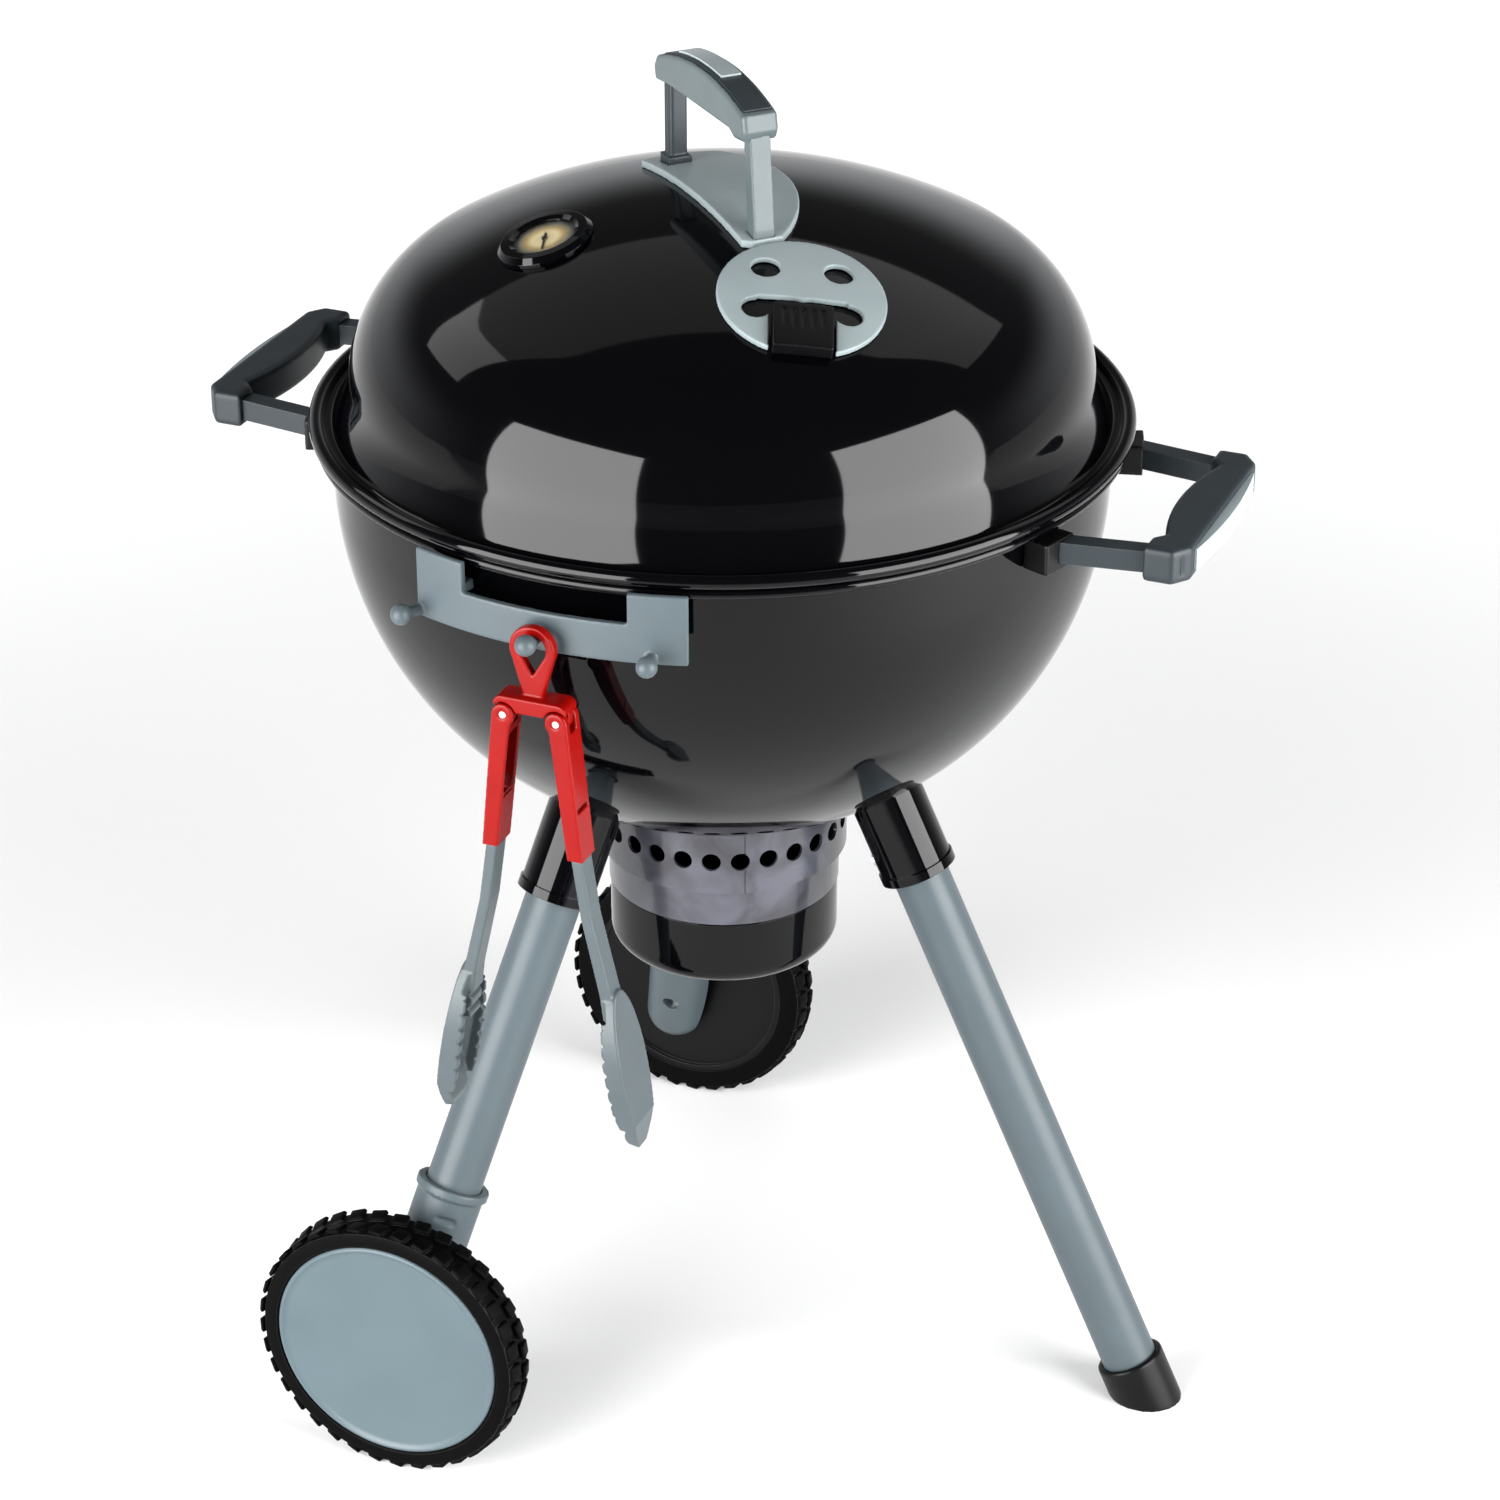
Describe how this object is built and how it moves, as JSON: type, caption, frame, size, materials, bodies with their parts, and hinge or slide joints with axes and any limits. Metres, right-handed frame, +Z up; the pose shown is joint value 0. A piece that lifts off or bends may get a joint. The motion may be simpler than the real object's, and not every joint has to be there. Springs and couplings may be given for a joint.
{
  "type": "toy kettle grill",
  "caption": "Round toy kettle grill: lift-off lid with handle, damper and dial, bowl on three splayed legs with two wheels and one foot, ash cup and hanging tongs.",
  "frame": {"origin": "on the floor, below the middle of the whole toy's bounding box", "axes": "+Z up, -Y towards the tool holder with the tongs, +X towards the leg with the foot, -X towards the wheels"},
  "size_m": [0.47, 0.393, 0.6368],
  "materials": {
    "black_gloss": "glossy moulded",
    "leg_grey": "satin moulded",
    "handle_slate": "fine spark texture",
    "handle_grey": "satin moulded",
    "plate_pale": "satin",
    "trim_black": "satin moulded",
    "band_silver": "silver-pigmented moulded",
    "grate_grey": "satin moulded",
    "charcoal_black": "rough moulded",
    "tyre_black": "moulded tread",
    "dial_cream": "printed",
    "needle_red": "painted",
    "lens_clear": "clear",
    "tongs_red": "glossy moulded",
    "tongs_grey": "satin moulded",
    "screw_steel": "zinc plated"
  },
  "bodies": {
    "kettle": {"bowl": "black_gloss", "bowl_base": "black_gloss", "bowl_rim": "black_gloss", "grate_ledges": "black_gloss", "charcoal_grate": "grate_grey", "charcoal": "charcoal_black", "leg_socket_right": "black_gloss", "leg_socket_rear": "black_gloss", "leg_socket_front": "black_gloss", "leg_tube_right": "leg_grey", "leg_tube_rear": "leg_grey", "leg_tube_front": "leg_grey", "leg_screws": "screw_steel", "foot_cap": "trim_black", "wheel_bracket_front": "leg_grey", "wheel_bracket_rear": "leg_grey", "axle_front": "screw_steel", "axle_rear": "screw_steel", "handle_frame_right": "handle_slate", "handle_frame_left": "handle_slate", "handle_grip_right": "handle_slate", "handle_grip_left": "handle_slate", "handle_plate_right": "plate_pale", "handle_plate_left": "plate_pale", "handle_roots_right": "trim_black", "handle_roots_left": "trim_black", "handle_screws": "screw_steel", "tool_holder": "leg_grey", "vent_band": "band_silver"},
    "lid": {"lid_shell": "black_gloss", "lid_rim": "black_gloss", "lid_handle_screws": "screw_steel", "lid_rear_post": "handle_slate", "lid_front_post": "handle_grey", "lid_grip": "handle_grey", "lid_grip_inlay": "handle_slate", "lid_grip_plate": "plate_pale", "lid_heat_shield": "handle_grey", "thermometer_bezel": "trim_black", "thermometer_dial": "dial_cream", "thermometer_needle": "needle_red", "thermometer_lens": "lens_clear"},
    "damper": {"damper_disc": "handle_grey", "damper_tab": "trim_black"},
    "grate": {"cooking_grate": "grate_grey"},
    "cup": {"ash_cup": "black_gloss"},
    "front_wheel": {"tyre_front": "tyre_black", "wheel_core_front": "trim_black", "wheel_disc_front": "leg_grey"},
    "rear_wheel": {"tyre_rear": "tyre_black", "wheel_core_rear": "trim_black", "wheel_disc_rear": "leg_grey"},
    "tongs": {"tongs_head": "tongs_red", "tongs_pins": "screw_steel"},
    "tongs_left": {"tongs_sleeve_left": "tongs_red", "tongs_blade_left": "tongs_grey"},
    "tongs_right": {"tongs_sleeve_right": "tongs_red", "tongs_blade_right": "tongs_grey"}
  },
  "joints": [
    {"name": "lid_lift", "type": "slide", "parent": "kettle", "child": "lid", "axis": [0, 0, 1], "range_m": [0, 0.2]},
    {"name": "damper_turn", "type": "hinge", "parent": "lid", "child": "damper", "pos_m": [0.06445, -0.05961, 0.56078], "axis": [0.2313, -0.2481, 0.9407], "range_deg": [0, 45]},
    {"name": "grate_lift", "type": "slide", "parent": "kettle", "child": "grate", "axis": [0, 0, 1], "range_m": [0, 0.03]},
    {"name": "cup_drop", "type": "slide", "parent": "kettle", "child": "cup", "axis": [0, 0, -1], "range_m": [0, 0.05]},
    {"name": "front_wheel_roll", "type": "hinge", "parent": "kettle", "child": "front_wheel", "pos_m": [-0.091, -0.1675, 0.0645], "axis": [0, 1, 0], "continuous": true},
    {"name": "rear_wheel_roll", "type": "hinge", "parent": "kettle", "child": "rear_wheel", "pos_m": [-0.091, 0.1865, 0.0645], "axis": [0, 1, 0], "continuous": true},
    {"name": "tongs_swing", "type": "hinge", "parent": "kettle", "child": "tongs", "pos_m": [-0.004, -0.1835, 0.4465], "axis": [0, 1, 0], "range_deg": [-20, 20]},
    {"name": "tongs_squeeze", "type": "hinge", "parent": "tongs", "child": "tongs_left", "pos_m": [-0.016, -0.1835, 0.413], "axis": [0, -1, 0], "range_deg": [0, 11.2], "stiffness_Nm_per_rad": 0.15, "springref_deg": -4.58},
    {"name": "tongs_squeeze_right", "type": "hinge", "parent": "tongs", "child": "tongs_right", "pos_m": [0.008, -0.1835, 0.413], "axis": [0, 1, 0], "range_deg": [0, 11.2], "stiffness_Nm_per_rad": 0.15, "springref_deg": -4.58}
  ],
  "couplings": [
    {"joint": "tongs_squeeze_right", "follows": "tongs_squeeze", "ratio": 1}
  ]
}
